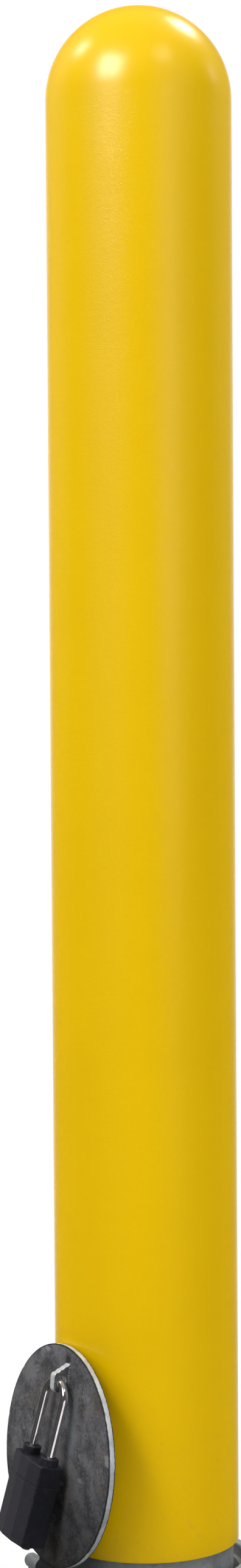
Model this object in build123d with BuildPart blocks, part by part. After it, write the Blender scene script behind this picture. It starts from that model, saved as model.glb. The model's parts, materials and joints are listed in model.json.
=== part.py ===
"""Retractable bollard with a hinged, padlocked lid, and the receiver it drops into.

The origin is on the post's axis, level with the receiver's rim, which is the
finished ground level.  +Z is up, and the raised lid stands on the -Y side.
All sizes are in millimetres.
"""
from build123d import *
from math import cos, radians, sin
import os

os.makedirs("parts", exist_ok=True)

# ---------------------------------------------------------------- driving sizes
# Post: 4 inch pipe in a domed plastic sleeve
post_od = 114.3
post_wall = 6.02
post_engagement = 175.0          # length of post left in the receiver when raised
sleeve_wall = 3.2
sleeve_fit = 0.3                 # radial gap between the pipe and its sleeve
sleeve_straight = 947.0          # from the sleeve's lower edge to the dome's spring line
sleeve_lift = 12.0               # lower edge of the sleeve above the rim
sleeve_edge = 1.0                # rounding of the sleeve's lower edge
cap_thickness = 8.0
foot_thickness = 10.0
foot_bore_r = 24.0
foot_edge = 2.0
guide_band_height = 40.0
guide_band_edge = 1.0
tip_depth = 4.0                  # top of the dome below the rim when retracted

# Receiver: 5 inch pipe set in the ground
receiver_wall = 6.55
receiver_edge = 0.8
guide_wall = 3.05
guide_gap = 0.4                  # radial gap between the sleeve and the upper guide
band_gap = 0.3                   # radial gap between the lower guide and the receiver
foot_gap = 0.8                   # radial gap between the post's foot and the receiver
stop_ring_gap = 0.8              # radial gap between the sleeve and the stop ring
guide_top_depth = 8.0
guide_height = 50.0
stop_height = 10.0
stop_gap = 0.5                   # between the stop ring and the raised post's guide band
buffer_thickness = 6.0
buffer_width = 16.0
buffer_wall_gap = 6.1            # between the buffer and the receiver's bore
buffer_edge = 1.5
landing_gap = 0.5                # between the buffer and the fully lowered post
base_margin = 9.35               # base plate beyond the receiver's outside
base_thickness = 12.0
base_corner = 12.0
drain_r = 12.0
drain_offset = 27.0              # drain hole from the axis, towards +Y
stud_shank_r = 6.35
stud_root = 1.0                  # shank's root let into the receiver's curve
stud_head_r = 12.0
stud_head_height = 8.0
stud_length = 70.0
stud_depths = (320.0, 880.0)     # stud rows below the rim
studs_per_row = 3
screw_count = 3
screw_r = 2.5
screw_head_r = 4.6
screw_head_depth = 2.2
screw_head_drop = 0.4            # screw heads below the guide's bore
screw_end_wall = 1.5             # receiver's wall left beyond the screws
screw_start_angle = 30.0

# Gas spring that helps the post up
cylinder_r = 14.0
cylinder_wall = 2.0
cylinder_end = 8.0
rod_r = 5.0
running_fit = 0.06
stud_end = 3.0                   # threaded stud beyond its nut
piston_edge = 0.8
gland_height = 20.0
piston_height = 14.0
piston_above_gland = 6.0
foot_boss_r = 11.0
foot_boss_height = 22.0
foot_boss_edge = 1.5
rod_socket = 14.0
spring_foot_room = 14.0          # between the lowered cylinder and the foot boss
mount_nut_width = 17.0
mount_nut_height = 8.0

# Lid and its hinge
lid_overhang = 0.95              # lid beyond the receiver's outside
lid_thickness = 4.8
lid_edge_break = 0.6
lid_lean = 5.0                   # degrees that the raised lid leans back on the post
lid_gap = 0.3                    # between the raised lid's top edge and the sleeve
lid_side_shift = 7.2             # the lid's middle from the post's middle, towards +X
slot_width = 6.8
slot_length = 25.0
slot_top_margin = 6.0            # from the slot's upper end to the lid's edge
slot_side_shift = 7.2            # the slot's middle from the lid's middle, towards +X
knuckle_r = 4.8
pin_r = 3.0
pin_fit = 0.06
middle_knuckle = 26.0
outer_knuckle = 15.0
knuckle_gap = 0.4
pin_head_r = 4.4
pin_head_height = 2.2
pin_head_edge = 1.2
tongue_depth = 9.0               # how far the knuckle's tongue is let into the lid
leaf_thickness = 5.0
leaf_height = 42.0
leaf_top_drop = 7.0              # leaf's plain top edge below the hinge axis

# Lug through the slot
lug_thickness = 5.8
lug_height = 17.9
lug_nose_r = 3.0
lug_nose_drop = 6.2              # the top edge falls this far from the lid to the nose
lug_reach = 10.6                 # out from the lid's face
lug_hole_fit = 1.22              # round the shackle in the lug's hole
lug_hole_out = 5.7               # hole's middle out from the lid's face
lug_hole_rise = 7.0              # hole's middle above the lug's lower edge
lug_top_drop = 4.5               # lug's top edge below the slot's upper end
lug_inner_reach = 0.8            # in behind the lid
weld_leg = 1.6
weld_slope = 1.1

# Padlock
shackle_r = 2.78
leg_spacing = 25.4
shackle_drop = 47.0              # from the top of the bow's middle line to the collars
collar_height = 5.0
collar_r = 6.1
collar_edge = 0.8
body_width = 38.0
body_side_depth = 16.4
body_depth = 20.8
body_flat = 12.0                 # width of the middle flat on the front and the back
body_height = 54.0
body_edge = 1.2
lock_tilt = 6.2                  # degrees, right-hand leg low
lock_lean = 8.0                  # degrees out from the lid's plane
apex_drop = 0.2                  # bow's middle line below the lug hole's middle
heel_depth = 30.0                # long leg inside the body
toe_depth = 11.0                 # short leg inside the body
release_travel = 12.0
core_width = 32.4
core_depth = 12.4
core_top_wall = 2.4
lock_base_thickness = 4.0
notch_drop = 4.6                 # notches below the core's top
notch_depth = 1.0
ball_r = 2.4
ball_gap = 0.25
plug_r = 4.9
plug_length = 20.0
plug_flange_r = 5.6
plug_flange_height = 2.0
keyway_width = 1.6
keyway_height = 6.8
keyway_depth = 16.0
keyway_hole_r = 4.6
cam_r = 4.4
cam_flat = 3.2                   # from the cam's axis to its two flats
cam_room = 0.5
spring_coil_r = 2.0
spring_wire_r = 0.45
spring_turns = 7
spring_pitch = 1.0
cover_thickness = 1.6
cover_gap = 0.3                  # between the keyway cover and the body
leg_clearance = 0.3              # round the shackle's legs in the cover and the collars
toe_room = 0.3                   # below the short leg
cover_disc_r = 6.2
cover_eye_r = 3.4
cover_pivot = 10.4               # rivet from the keyway, towards +X
rivet_r = 1.4
rivet_head_r = 2.6
rivet_head_height = 1.0

# ---------------------------------------------------------------- sizes that follow
post_r = post_od / 2
post_bore_r = post_r - post_wall
sleeve_bore_r = post_r + sleeve_fit
sleeve_r = sleeve_bore_r + sleeve_wall
receiver_bore_r = sleeve_r + guide_gap + guide_wall
receiver_r = receiver_bore_r + receiver_wall
buffer_outer_r = receiver_bore_r - buffer_wall_gap
base_width = 2 * (receiver_r + base_margin)
dome_z = sleeve_lift + sleeve_straight
dome_top_z = dome_z + sleeve_r
travel = dome_top_z + tip_depth
foot_z = -post_engagement
band_z = foot_z + foot_thickness
stop_z = band_z + guide_band_height + stop_gap
guide_bore_r = sleeve_r + guide_gap
guide_z = -guide_top_depth - guide_height
screw_z = guide_z + guide_height / 2
buffer_z = foot_z - travel - landing_gap
base_top_z = buffer_z - buffer_thickness
base_z = base_top_z - base_thickness
cap_z = dome_z - cap_thickness
boss_top_z = base_top_z + foot_boss_height
cylinder_z = boss_top_z + spring_foot_room + travel
gland_top_z = cylinder_z + gland_height
piston_z = gland_top_z + piston_above_gland

lean = radians(lid_lean)
lid_r = receiver_r + lid_overhang
lid_up = Vector(0, sin(lean), cos(lean))
lid_out = Vector(0, -cos(lean), sin(lean))
hinge_z = lid_thickness / 2
lid_middle_r = sleeve_r + lid_gap + lid_r * sin(lean) + lid_thickness / 2 * cos(lean)
hinge_r = lid_middle_r / (1 - sin(lean))
hinge_point = Vector(lid_side_shift, -hinge_r, hinge_z)
lid_centre = hinge_point + lid_up * hinge_r
lid_plane = Plane(origin=lid_centre, x_dir=(1, 0, 0), z_dir=lid_out)
face = lid_thickness / 2
slot_middle = lid_r - slot_top_margin - slot_length / 2
lug_hole_r = shackle_r + lug_hole_fit
lug_top = lid_r - slot_top_margin - lug_top_drop
lug_middle = lug_top - lug_height / 2
lug_hole_up = lug_top - lug_height + lug_hole_rise
lug_hole_n = face + lug_hole_out
lug_nose_n = face + lug_reach

apex = lid_plane.from_local_coords((slot_side_shift, lug_hole_up - apex_drop, lug_hole_n))
hang_plane = Plane(origin=apex, x_dir=(1, 0, 0), z_dir=lid_up)
lock_plane = hang_plane.rotated((-lock_lean, lock_tilt, 0))
body_top = -(shackle_drop + collar_height)
body_bottom = body_top - body_height
core_top = body_top - core_top_wall
core_bottom = body_bottom + lock_base_thickness
leg_x = leg_spacing / 2
leg_hole_r = shackle_r + running_fit
heel_z = body_top - heel_depth
toe_z = body_top - toe_depth
heel_floor = heel_z - spring_turns * spring_pitch - spring_wire_r
toe_floor = toe_z - toe_room
notch_z = core_top - notch_drop
ball_x = leg_x - shackle_r - ball_gap - ball_r
plug_top = core_bottom + plug_length
cam_top = notch_z + ball_r
cover_top = body_bottom - cover_gap


def finish(piece, name):
    """Label a piece and write its STEP file."""
    piece.part.label = name
    export_step(piece.part, f"parts/{name}.step")


# ================================================================ receiver (fixed)
with BuildPart() as guide_screw_tool:
    # one countersunk screw along +X, from the guide's bore out to the pipe's wall
    with BuildSketch(Plane.XZ):
        with BuildLine():
            inner = guide_bore_r + screw_head_drop
            outer = receiver_r - screw_end_wall
            Polyline(
                (inner, screw_z),
                (inner, screw_z + screw_head_r),
                (inner + screw_head_depth, screw_z + screw_r),
                (outer, screw_z + screw_r),
                (outer, screw_z),
                close=True,
            )
        make_face()
    revolve(axis=Axis((0, 0, screw_z), (1, 0, 0)))

with BuildPart() as receiver_tube:
    with BuildSketch(Plane.XY.offset(base_top_z)):
        Circle(receiver_r)
        Circle(receiver_bore_r, mode=Mode.SUBTRACT)
    extrude(amount=-base_top_z)
    chamfer(receiver_tube.edges().group_by(Axis.Z)[-1], receiver_edge)
    with PolarLocations(0, screw_count, start_angle=screw_start_angle):
        add(guide_screw_tool.part, mode=Mode.SUBTRACT)
finish(receiver_tube, "receiver_tube")

with BuildPart() as base_plate:
    with BuildSketch(Plane.XY.offset(base_z)):
        outline = Rectangle(base_width, base_width)
        chamfer(outline.vertices(), base_corner)
        with Locations((0, drain_offset)):
            Circle(drain_r, mode=Mode.SUBTRACT)
    extrude(amount=base_thickness)
finish(base_plate, "base_plate")

with BuildPart() as anchor_studs:
    # headed studs that key the receiver into its concrete
    for depth in stud_depths:
        with PolarLocations(0, studs_per_row, start_angle=90):
            with Locations((receiver_r - stud_root, 0, -depth)):
                Cylinder(
                    stud_shank_r, stud_length + stud_root, rotation=(0, 90, 0),
                    align=(Align.CENTER, Align.CENTER, Align.MIN),
                )
            with Locations((receiver_r + stud_length, 0, -depth)):
                Cylinder(
                    stud_head_r, stud_head_height, rotation=(0, 90, 0),
                    align=(Align.CENTER, Align.CENTER, Align.MIN),
                )
    with BuildSketch(Plane.XY.offset(base_top_z)):
        Circle(receiver_r)
    extrude(amount=-base_top_z, mode=Mode.SUBTRACT)
finish(anchor_studs, "anchor_studs")

with BuildPart() as upper_guide:
    with BuildSketch(Plane.XY.offset(guide_z)):
        Circle(receiver_bore_r)
        Circle(guide_bore_r, mode=Mode.SUBTRACT)
    extrude(amount=guide_height)
    with PolarLocations(0, screw_count, start_angle=screw_start_angle):
        add(guide_screw_tool.part, mode=Mode.SUBTRACT)
        with Locations((guide_bore_r + screw_head_drop, 0, screw_z)):
            Cylinder(
                screw_head_r, 2 * screw_head_drop, rotation=(0, 90, 0), mode=Mode.SUBTRACT,
                align=(Align.CENTER, Align.CENTER, Align.MAX),
            )
finish(upper_guide, "upper_guide")

with BuildPart() as guide_screws:
    with PolarLocations(0, screw_count, start_angle=screw_start_angle):
        add(guide_screw_tool.part)
finish(guide_screws, "guide_screws")

with BuildPart() as stop_ring:
    with BuildSketch(Plane.XY.offset(stop_z)):
        Circle(receiver_bore_r)
        Circle(sleeve_r + stop_ring_gap, mode=Mode.SUBTRACT)
    extrude(amount=stop_height)
finish(stop_ring, "stop_ring")

with BuildPart() as bottom_buffer:
    with BuildSketch(Plane.XY.offset(base_top_z)):
        Circle(buffer_outer_r)
        Circle(buffer_outer_r - buffer_width, mode=Mode.SUBTRACT)
    extrude(amount=buffer_thickness)
    fillet(bottom_buffer.edges().group_by(Axis.Z)[-1], buffer_edge)
finish(bottom_buffer, "bottom_buffer")

with BuildPart() as spring_foot:
    with BuildSketch(Plane.XY.offset(base_top_z)):
        Circle(foot_boss_r)
    extrude(amount=foot_boss_height)
    chamfer(spring_foot.edges().group_by(Axis.Z)[-1], foot_boss_edge)
    with BuildSketch(Plane.XY.offset(boss_top_z - rod_socket)):
        Circle(rod_r)
    extrude(amount=rod_socket, mode=Mode.SUBTRACT)
finish(spring_foot, "spring_foot")

with BuildPart() as gas_rod:
    with BuildSketch(Plane.XY.offset(boss_top_z - rod_socket)):
        Circle(rod_r)
    extrude(amount=piston_z - boss_top_z + rod_socket)
finish(gas_rod, "gas_rod")

with BuildPart() as gas_piston:
    with BuildSketch(Plane.XY.offset(piston_z)):
        Circle(cylinder_r - cylinder_wall - running_fit)
    extrude(amount=piston_height)
    chamfer(gas_piston.edges(), piston_edge)
finish(gas_piston, "gas_piston")

# Hinge leaf: welded to the receiver's outside, with two outer knuckles
knuckle_x = middle_knuckle / 2 + knuckle_gap
hinge_half = knuckle_x + outer_knuckle
hinge_plane = Plane(origin=hinge_point, x_dir=(0, 1, 0), z_dir=(1, 0, 0))

with BuildPart() as hinge_leaf:
    with BuildSketch(Plane.XY.offset(hinge_z - leaf_top_drop)):
        with Locations((lid_side_shift, 0)):
            Rectangle(2 * hinge_half, hinge_r + leaf_thickness / 2, align=(Align.CENTER, Align.MAX))
    extrude(amount=-leaf_height)
    for side in (-1, 1):
        start = knuckle_x if side > 0 else -hinge_half
        with BuildSketch(hinge_plane.offset(start)):
            Circle(knuckle_r)
            with Locations((-knuckle_r / 2 + leaf_thickness / 2, -leaf_top_drop / 2)):
                Rectangle(knuckle_r, leaf_top_drop)
        extrude(amount=outer_knuckle)
    with BuildSketch(Plane.XY.offset(-leaf_height * 2)):
        Circle(receiver_r)
    extrude(amount=leaf_height * 2, mode=Mode.SUBTRACT)
    with BuildSketch(hinge_plane.offset(-hinge_half)):
        Circle(pin_r)
    extrude(amount=2 * hinge_half, mode=Mode.SUBTRACT)
finish(hinge_leaf, "hinge_leaf")

with BuildPart() as hinge_pin:
    with BuildSketch(hinge_plane.offset(-hinge_half)):
        Circle(pin_r)
    extrude(amount=2 * hinge_half)
    for start, length in ((-hinge_half, -pin_head_height), (hinge_half, pin_head_height)):
        with BuildSketch(hinge_plane.offset(start)):
            Circle(pin_head_r)
        extrude(amount=length)
    fillet(hinge_pin.edges().group_by(Axis.X)[-1], pin_head_edge)
    fillet(hinge_pin.edges().group_by(Axis.X)[0], pin_head_edge)
finish(hinge_pin, "hinge_pin")

# ================================================================ sliding post
with BuildPart() as post_tube:
    with BuildSketch(Plane.XY.offset(band_z)):
        Circle(post_r)
        Circle(post_bore_r, mode=Mode.SUBTRACT)
    extrude(amount=cap_z - band_z)
finish(post_tube, "post_tube")

with BuildPart() as post_sleeve:
    with BuildSketch(Plane.XZ):
        with BuildLine():
            Line((sleeve_bore_r, sleeve_lift), (sleeve_r, sleeve_lift))
            Line((sleeve_r, sleeve_lift), (sleeve_r, dome_z))
            CenterArc((0, dome_z), sleeve_r, 0, 90)
            Line((0, dome_z + sleeve_r), (0, dome_z + sleeve_bore_r))
            CenterArc((0, dome_z), sleeve_bore_r, 0, 90)
            Line((sleeve_bore_r, dome_z), (sleeve_bore_r, sleeve_lift))
        make_face()
    revolve(axis=Axis.Z)
    fillet(post_sleeve.edges().group_by(Axis.Z)[0].sort_by(SortBy.LENGTH)[-1], sleeve_edge)
finish(post_sleeve, "post_sleeve")

with BuildPart() as post_cap:
    with BuildSketch(Plane.XY.offset(cap_z)):
        Circle(post_r)
        Circle(rod_r, mode=Mode.SUBTRACT)
    extrude(amount=cap_thickness)
finish(post_cap, "post_cap")

with BuildPart() as post_foot:
    with BuildSketch(Plane.XY.offset(foot_z)):
        Circle(receiver_bore_r - foot_gap)
        Circle(foot_bore_r, mode=Mode.SUBTRACT)
    extrude(amount=foot_thickness)
    chamfer(post_foot.edges().group_by(Axis.Z)[0].sort_by(SortBy.LENGTH)[-1], foot_edge)
finish(post_foot, "post_foot")

with BuildPart() as lower_guide:
    with BuildSketch(Plane.XY.offset(band_z)):
        Circle(receiver_bore_r - band_gap)
        Circle(post_r, mode=Mode.SUBTRACT)
    extrude(amount=guide_band_height)
    chamfer(
        lower_guide.edges().group_by(Axis.Z)[-1].sort_by(SortBy.LENGTH)[-1], guide_band_edge,
    )
finish(lower_guide, "lower_guide")

with BuildPart() as gas_cylinder:
    with BuildSketch(Plane.XY.offset(cylinder_z)):
        Circle(cylinder_r)
    extrude(amount=cap_z - cylinder_z)
    with BuildSketch(Plane.XY.offset(cylinder_z)):
        Circle(cylinder_r - cylinder_wall)
    extrude(amount=cap_z - cylinder_end - cylinder_z, mode=Mode.SUBTRACT)
    # threaded stud through the post's cap
    with BuildSketch(Plane.XY.offset(cap_z)):
        Circle(rod_r)
    extrude(amount=cap_thickness + mount_nut_height + stud_end)
finish(gas_cylinder, "gas_cylinder")

with BuildPart() as gas_gland:
    with BuildSketch(Plane.XY.offset(cylinder_z)):
        Circle(cylinder_r - cylinder_wall)
        Circle(rod_r + running_fit, mode=Mode.SUBTRACT)
    extrude(amount=gland_height)
finish(gas_gland, "gas_gland")

with BuildPart() as spring_nut:
    with BuildSketch(Plane.XY.offset(dome_z)):
        RegularPolygon(mount_nut_width / 2, 6, major_radius=False)
        Circle(rod_r, mode=Mode.SUBTRACT)
    extrude(amount=mount_nut_height)
finish(spring_nut, "spring_nut")

# ================================================================ lid
with BuildPart() as lid_plate:
    with BuildSketch(lid_plane.offset(-face)):
        Circle(lid_r)
        with Locations((slot_side_shift, slot_middle)):
            SlotOverall(slot_length, slot_width, rotation=90, mode=Mode.SUBTRACT)
        with Locations((0, -lid_r)):
            Rectangle(middle_knuckle, 2 * tongue_depth, mode=Mode.SUBTRACT)
    extrude(amount=lid_thickness)
    rim = lid_plate.edges().filter_by(GeomType.CIRCLE).sort_by(SortBy.RADIUS)[-2:]
    chamfer(rim, lid_edge_break)
finish(lid_plate, "lid_plate")

with BuildPart() as lid_knuckle:
    # barrel round the pin, with a tongue welded into the lid's notch
    with BuildSketch(hinge_plane.offset(-middle_knuckle / 2)):
        Circle(knuckle_r)
    extrude(amount=middle_knuckle)
    with BuildSketch(lid_plane.offset(-face)):
        with Locations((0, -(lid_r - tongue_depth + hinge_r) / 2)):
            Rectangle(middle_knuckle, hinge_r - lid_r + tongue_depth)
    extrude(amount=lid_thickness)
    with BuildSketch(hinge_plane.offset(-middle_knuckle / 2)):
        Circle(pin_r + pin_fit)
    extrude(amount=middle_knuckle, mode=Mode.SUBTRACT)
finish(lid_knuckle, "lid_knuckle")

lug_plane = Plane(
    origin=lid_plane.from_local_coords((slot_side_shift, lug_middle, 0)),
    x_dir=lid_out, z_dir=(-1, 0, 0),
)
with BuildPart() as lock_lug:
    # square behind the lid, with a top edge that falls away to a rounded nose
    with BuildSketch(lug_plane.offset(-lug_thickness / 2)) as lug_outline:
        with BuildLine():
            Polyline(
                (-face - lug_inner_reach, lug_height / 2),
                (face, lug_height / 2),
                (lug_nose_n, lug_height / 2 - lug_nose_drop),
                (lug_nose_n, -lug_height / 2),
                (-face - lug_inner_reach, -lug_height / 2),
                close=True,
            )
        make_face()
        fillet(lug_outline.vertices().sort_by(Axis.X)[-2:], lug_nose_r)
        with Locations((lug_hole_n, lug_hole_up - lug_middle)):
            Circle(lug_hole_r, mode=Mode.SUBTRACT)
    extrude(amount=lug_thickness)
finish(lock_lug, "lock_lug")

with BuildPart() as lug_welds:
    # one bead down each side of the lug, on the lid's outer face
    for side in (-1, 1):
        with BuildSketch(lid_plane.offset(face)):
            with Locations((slot_side_shift + side * (lug_thickness + weld_leg) / 2, lug_middle)):
                Rectangle(weld_leg, lug_height)
        extrude(amount=weld_leg)
    outer_edges = lug_welds.edges().filter_by(Axis(lid_centre, lid_up)).sort_by(
        lambda edge: abs(lid_plane.to_local_coords(edge.center()).X - slot_side_shift)
        + lid_plane.to_local_coords(edge.center()).Z)[-2:]
    chamfer(outer_edges, weld_slope)
finish(lug_welds, "lug_welds")

# ================================================================ padlock
bow_plane = Plane(origin=apex, x_dir=lock_plane.x_dir, z_dir=-lock_plane.y_dir)
lock_axis = Axis(apex, lock_plane.z_dir)
leg_points = ((-leg_x, 0), (leg_x, 0))

with BuildPart() as shackle:
    with BuildLine(bow_plane):
        Line((-leg_x, heel_z), (-leg_x, -leg_x))
        CenterArc((0, -leg_x), leg_x, 180, -180)
        Line((leg_x, -leg_x), (leg_x, toe_z))
    with BuildSketch(lock_plane.offset(heel_z)):
        with Locations((-leg_x, 0)):
            Circle(shackle_r)
    sweep()
    # notches that the locking balls enter
    with BuildPart(lock_plane, mode=Mode.PRIVATE) as notches:
        for side in (-1, 1):
            with Locations((side * (ball_x + ball_gap + notch_depth), 0, notch_z)):
                Sphere(ball_r)
    add(notches.part, mode=Mode.SUBTRACT)
finish(shackle, "shackle")


def body_outline():
    """The padlock's section: flat sides, and a front and back of three flats each."""
    half = body_width / 2
    flat = body_flat / 2
    deep = body_depth / 2
    side = body_side_depth / 2
    quarter = [(half, side), (flat, deep)]
    back = quarter + [(-x, y) for x, y in reversed(quarter)]
    return back + [(-x, -y) for x, y in back]


with BuildPart() as lock_cover:
    with BuildSketch(lock_plane.offset(body_bottom)):
        Polygon(*body_outline())
    extrude(amount=body_height)
    fillet(lock_cover.edges(), body_edge)
    with BuildSketch(lock_plane.offset(body_bottom)):
        Rectangle(core_width, core_depth)
    extrude(amount=core_top - body_bottom, mode=Mode.SUBTRACT)
    with BuildSketch(lock_plane.offset(body_top)):
        with Locations(*leg_points):
            Circle(shackle_r + leg_clearance)
    extrude(amount=core_top - body_top, mode=Mode.SUBTRACT)
finish(lock_cover, "lock_cover")

with BuildPart() as shackle_collars:
    with BuildSketch(lock_plane.offset(body_top)):
        with Locations(*leg_points):
            Circle(collar_r)
            Circle(shackle_r + leg_clearance, mode=Mode.SUBTRACT)
    extrude(amount=collar_height)
    outer_circles = shackle_collars.edges().filter_by(GeomType.CIRCLE).sort_by(SortBy.RADIUS)[-4:]
    fillet(outer_circles.sort_by(lock_axis)[-2:], collar_edge)
finish(shackle_collars, "shackle_collars")

with BuildPart() as lock_core:
    with BuildSketch(lock_plane.offset(core_bottom)):
        Rectangle(core_width, core_depth)
    extrude(amount=core_top - core_bottom)
    for x, floor in ((-leg_x, heel_floor), (leg_x, toe_floor)):
        with BuildSketch(lock_plane.offset(floor)):
            with Locations((x, 0)):
                Circle(leg_hole_r)
        extrude(amount=core_top - floor, mode=Mode.SUBTRACT)
    with BuildSketch(lock_plane.offset(core_bottom)):
        Circle(plug_flange_r + running_fit)
    extrude(amount=plug_flange_height + running_fit, mode=Mode.SUBTRACT)
    with BuildSketch(lock_plane.offset(core_bottom)):
        Circle(plug_r + running_fit)
    extrude(amount=plug_length, mode=Mode.SUBTRACT)
    with BuildSketch(lock_plane.offset(core_bottom)):
        Circle(cam_r + cam_room)
    extrude(amount=cam_top + cam_room - core_bottom, mode=Mode.SUBTRACT)
    # cross channel for the two balls
    with BuildSketch(Plane(lock_plane.from_local_coords((-leg_x, 0, notch_z)),
                           x_dir=lock_plane.y_dir, z_dir=lock_plane.x_dir)):
        Circle(ball_r + running_fit)
    extrude(amount=leg_spacing, mode=Mode.SUBTRACT)
finish(lock_core, "lock_core")

with BuildPart(lock_plane) as locking_balls:
    with Locations((-ball_x, 0, notch_z), (ball_x, 0, notch_z)):
        Sphere(ball_r)
finish(locking_balls, "locking_balls")

with BuildPart(lock_plane) as shackle_spring:
    # closed coils under the long leg
    for turn in range(spring_turns):
        with Locations((-leg_x, 0, heel_floor + spring_wire_r + turn * spring_pitch)):
            Torus(spring_coil_r, spring_wire_r)
finish(shackle_spring, "shackle_spring")

with BuildPart() as key_plug:
    with BuildSketch(lock_plane.offset(core_bottom)):
        Circle(plug_flange_r)
    extrude(amount=plug_flange_height)
    with BuildSketch(lock_plane.offset(core_bottom)):
        Circle(plug_r)
    extrude(amount=plug_length)
    with BuildSketch(lock_plane.offset(core_bottom)):
        Rectangle(keyway_width, keyway_height)
    extrude(amount=keyway_depth, mode=Mode.SUBTRACT)
finish(key_plug, "key_plug")

with BuildPart() as lock_cam:
    with BuildSketch(lock_plane.offset(plug_top)):
        Circle(cam_r)
        Rectangle(2 * cam_r, 2 * cam_flat, mode=Mode.INTERSECT)
    extrude(amount=cam_top - plug_top)
finish(lock_cam, "lock_cam")

with BuildPart() as lock_base:
    with BuildSketch(lock_plane.offset(body_bottom)):
        Rectangle(core_width, core_depth)
        Circle(keyway_hole_r, mode=Mode.SUBTRACT)
        with Locations((cover_pivot, 0)):
            Circle(rivet_r, mode=Mode.SUBTRACT)
    extrude(amount=lock_base_thickness)
finish(lock_base, "lock_base")

with BuildPart() as keyway_cover:
    with BuildSketch(lock_plane.offset(cover_top)):
        Circle(cover_disc_r)
        with Locations((cover_pivot, 0)):
            Circle(cover_eye_r)
        make_hull()
        with Locations((cover_pivot, 0)):
            Circle(rivet_r + running_fit, mode=Mode.SUBTRACT)
    extrude(amount=-cover_thickness)
finish(keyway_cover, "keyway_cover")

with BuildPart() as cover_rivet:
    head_z = cover_top - cover_thickness - running_fit
    with BuildSketch(lock_plane.offset(head_z)):
        with Locations((cover_pivot, 0)):
            Circle(rivet_r)
    extrude(amount=body_bottom + lock_base_thickness - head_z)
    with BuildSketch(lock_plane.offset(head_z)):
        with Locations((cover_pivot, 0)):
            Circle(rivet_head_r)
    extrude(amount=-rivet_head_height)
finish(cover_rivet, "cover_rivet")

print(f"raised height {dome_top_z:.1f}, travel {travel:.1f}, depth in the ground {-base_z:.1f}")
print(f"hinge axis {hinge_r:.1f} from the post's axis, sleeve radius {sleeve_r:.2f}")
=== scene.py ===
"""Looks of the retractable bollard: finishes, detailed pieces, stage, lights and camera."""
import json
from math import atan2, cos, pi, radians, sin, sqrt, tan

import bmesh
import bpy
from mathutils import Matrix, Vector, noise


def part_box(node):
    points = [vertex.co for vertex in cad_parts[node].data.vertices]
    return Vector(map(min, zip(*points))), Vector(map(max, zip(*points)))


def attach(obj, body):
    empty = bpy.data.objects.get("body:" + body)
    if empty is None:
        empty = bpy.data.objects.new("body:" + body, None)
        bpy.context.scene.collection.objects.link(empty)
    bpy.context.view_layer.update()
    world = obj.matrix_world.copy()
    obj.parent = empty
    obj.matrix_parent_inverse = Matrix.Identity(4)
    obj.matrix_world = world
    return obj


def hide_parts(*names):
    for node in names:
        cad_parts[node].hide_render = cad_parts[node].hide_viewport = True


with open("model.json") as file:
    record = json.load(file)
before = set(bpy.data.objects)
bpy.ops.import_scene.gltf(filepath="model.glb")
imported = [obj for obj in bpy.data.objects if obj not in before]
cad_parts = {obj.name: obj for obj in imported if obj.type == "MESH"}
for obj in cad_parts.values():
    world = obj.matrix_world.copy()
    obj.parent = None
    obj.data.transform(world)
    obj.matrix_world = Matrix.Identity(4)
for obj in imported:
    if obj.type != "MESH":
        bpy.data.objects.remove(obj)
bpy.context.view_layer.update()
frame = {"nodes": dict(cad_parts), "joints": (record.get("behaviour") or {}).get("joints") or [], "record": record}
nodes = frame["nodes"]
scene = bpy.context.scene
MM = 0.001
CLOSE = 1e-6                     # two places this near are one

# ------------------------------------------------------------------ places, from the frame
joints = {joint["name"]: joint for joint in frame["joints"]}
hinge = Vector(joints["lid_hinge"]["pos_m"])
apex = Vector(joints["padlock_swing"]["pos_m"])
sleeve_low, sleeve_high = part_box("post_sleeve")
receiver_low, receiver_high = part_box("receiver_tube")
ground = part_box("base_plate")[0].z

SLEEVE_R = (sleeve_high.x - sleeve_low.x) / 2
SLEEVE_WALL = 3.2 * MM
DOME_Z = sleeve_high.z - SLEEVE_R

LID_R = 71.6 * MM
LID_THICKNESS = 4.8 * MM
LID_LEAN = radians(5.0)
SLOT_WIDTH = 6.8 * MM
SLOT_LENGTH = 25.0 * MM
SLOT_TOP_MARGIN = 6.0 * MM
SLOT_SHIFT = 7.2 * MM
NOTCH_WIDTH = 26.0 * MM
NOTCH_DEPTH = 9.0 * MM

lid_up = Vector((0, sin(LID_LEAN), cos(LID_LEAN)))
lid_out = Vector((0, -cos(LID_LEAN), sin(LID_LEAN)))
lid_centre = hinge + lid_up * -hinge.y
lid_axes = Matrix((Vector((1, 0, 0)), lid_up, lid_out)).transposed().to_4x4()
lid_place = Matrix.Translation(lid_centre) @ lid_axes

LUG_THICKNESS = 5.8 * MM
LUG_HEIGHT = 17.9 * MM
LUG_NOSE_R = 3.0 * MM
LUG_NOSE_DROP = 6.2 * MM
LUG_REACH = 10.6 * MM
LUG_HOLE_R = 4.0 * MM
LUG_HOLE_OUT = 5.7 * MM
LUG_HOLE_RISE = 7.0 * MM
LUG_TOP_DROP = 4.5 * MM
LUG_INNER_REACH = 0.8 * MM
FACE = LID_THICKNESS / 2
lug_middle = LID_R - SLOT_TOP_MARGIN - LUG_TOP_DROP - LUG_HEIGHT / 2

SHACKLE_R = 2.78 * MM
LEG_X = 12.7 * MM
HEEL_Z = -82.0 * MM
TOE_Z = -63.0 * MM
SEAM_Z = -65.5 * MM

lock_down = Vector(joints["shackle_release"]["axis"]).normalized()
plug_point = Vector(joints["key_turn"]["pos_m"])
rivet_point = Vector(joints["keyway_cover_turn"]["pos_m"])
lock_up = -lock_down
lock_x = rivet_point - plug_point
lock_x = (lock_x - lock_up * lock_x.dot(lock_up)).normalized()
lock_y = lock_up.cross(lock_x)
lock_axes = Matrix((lock_x, lock_y, lock_up)).transposed().to_4x4()
lock_place = Matrix.Translation(apex) @ lock_axes


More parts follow.
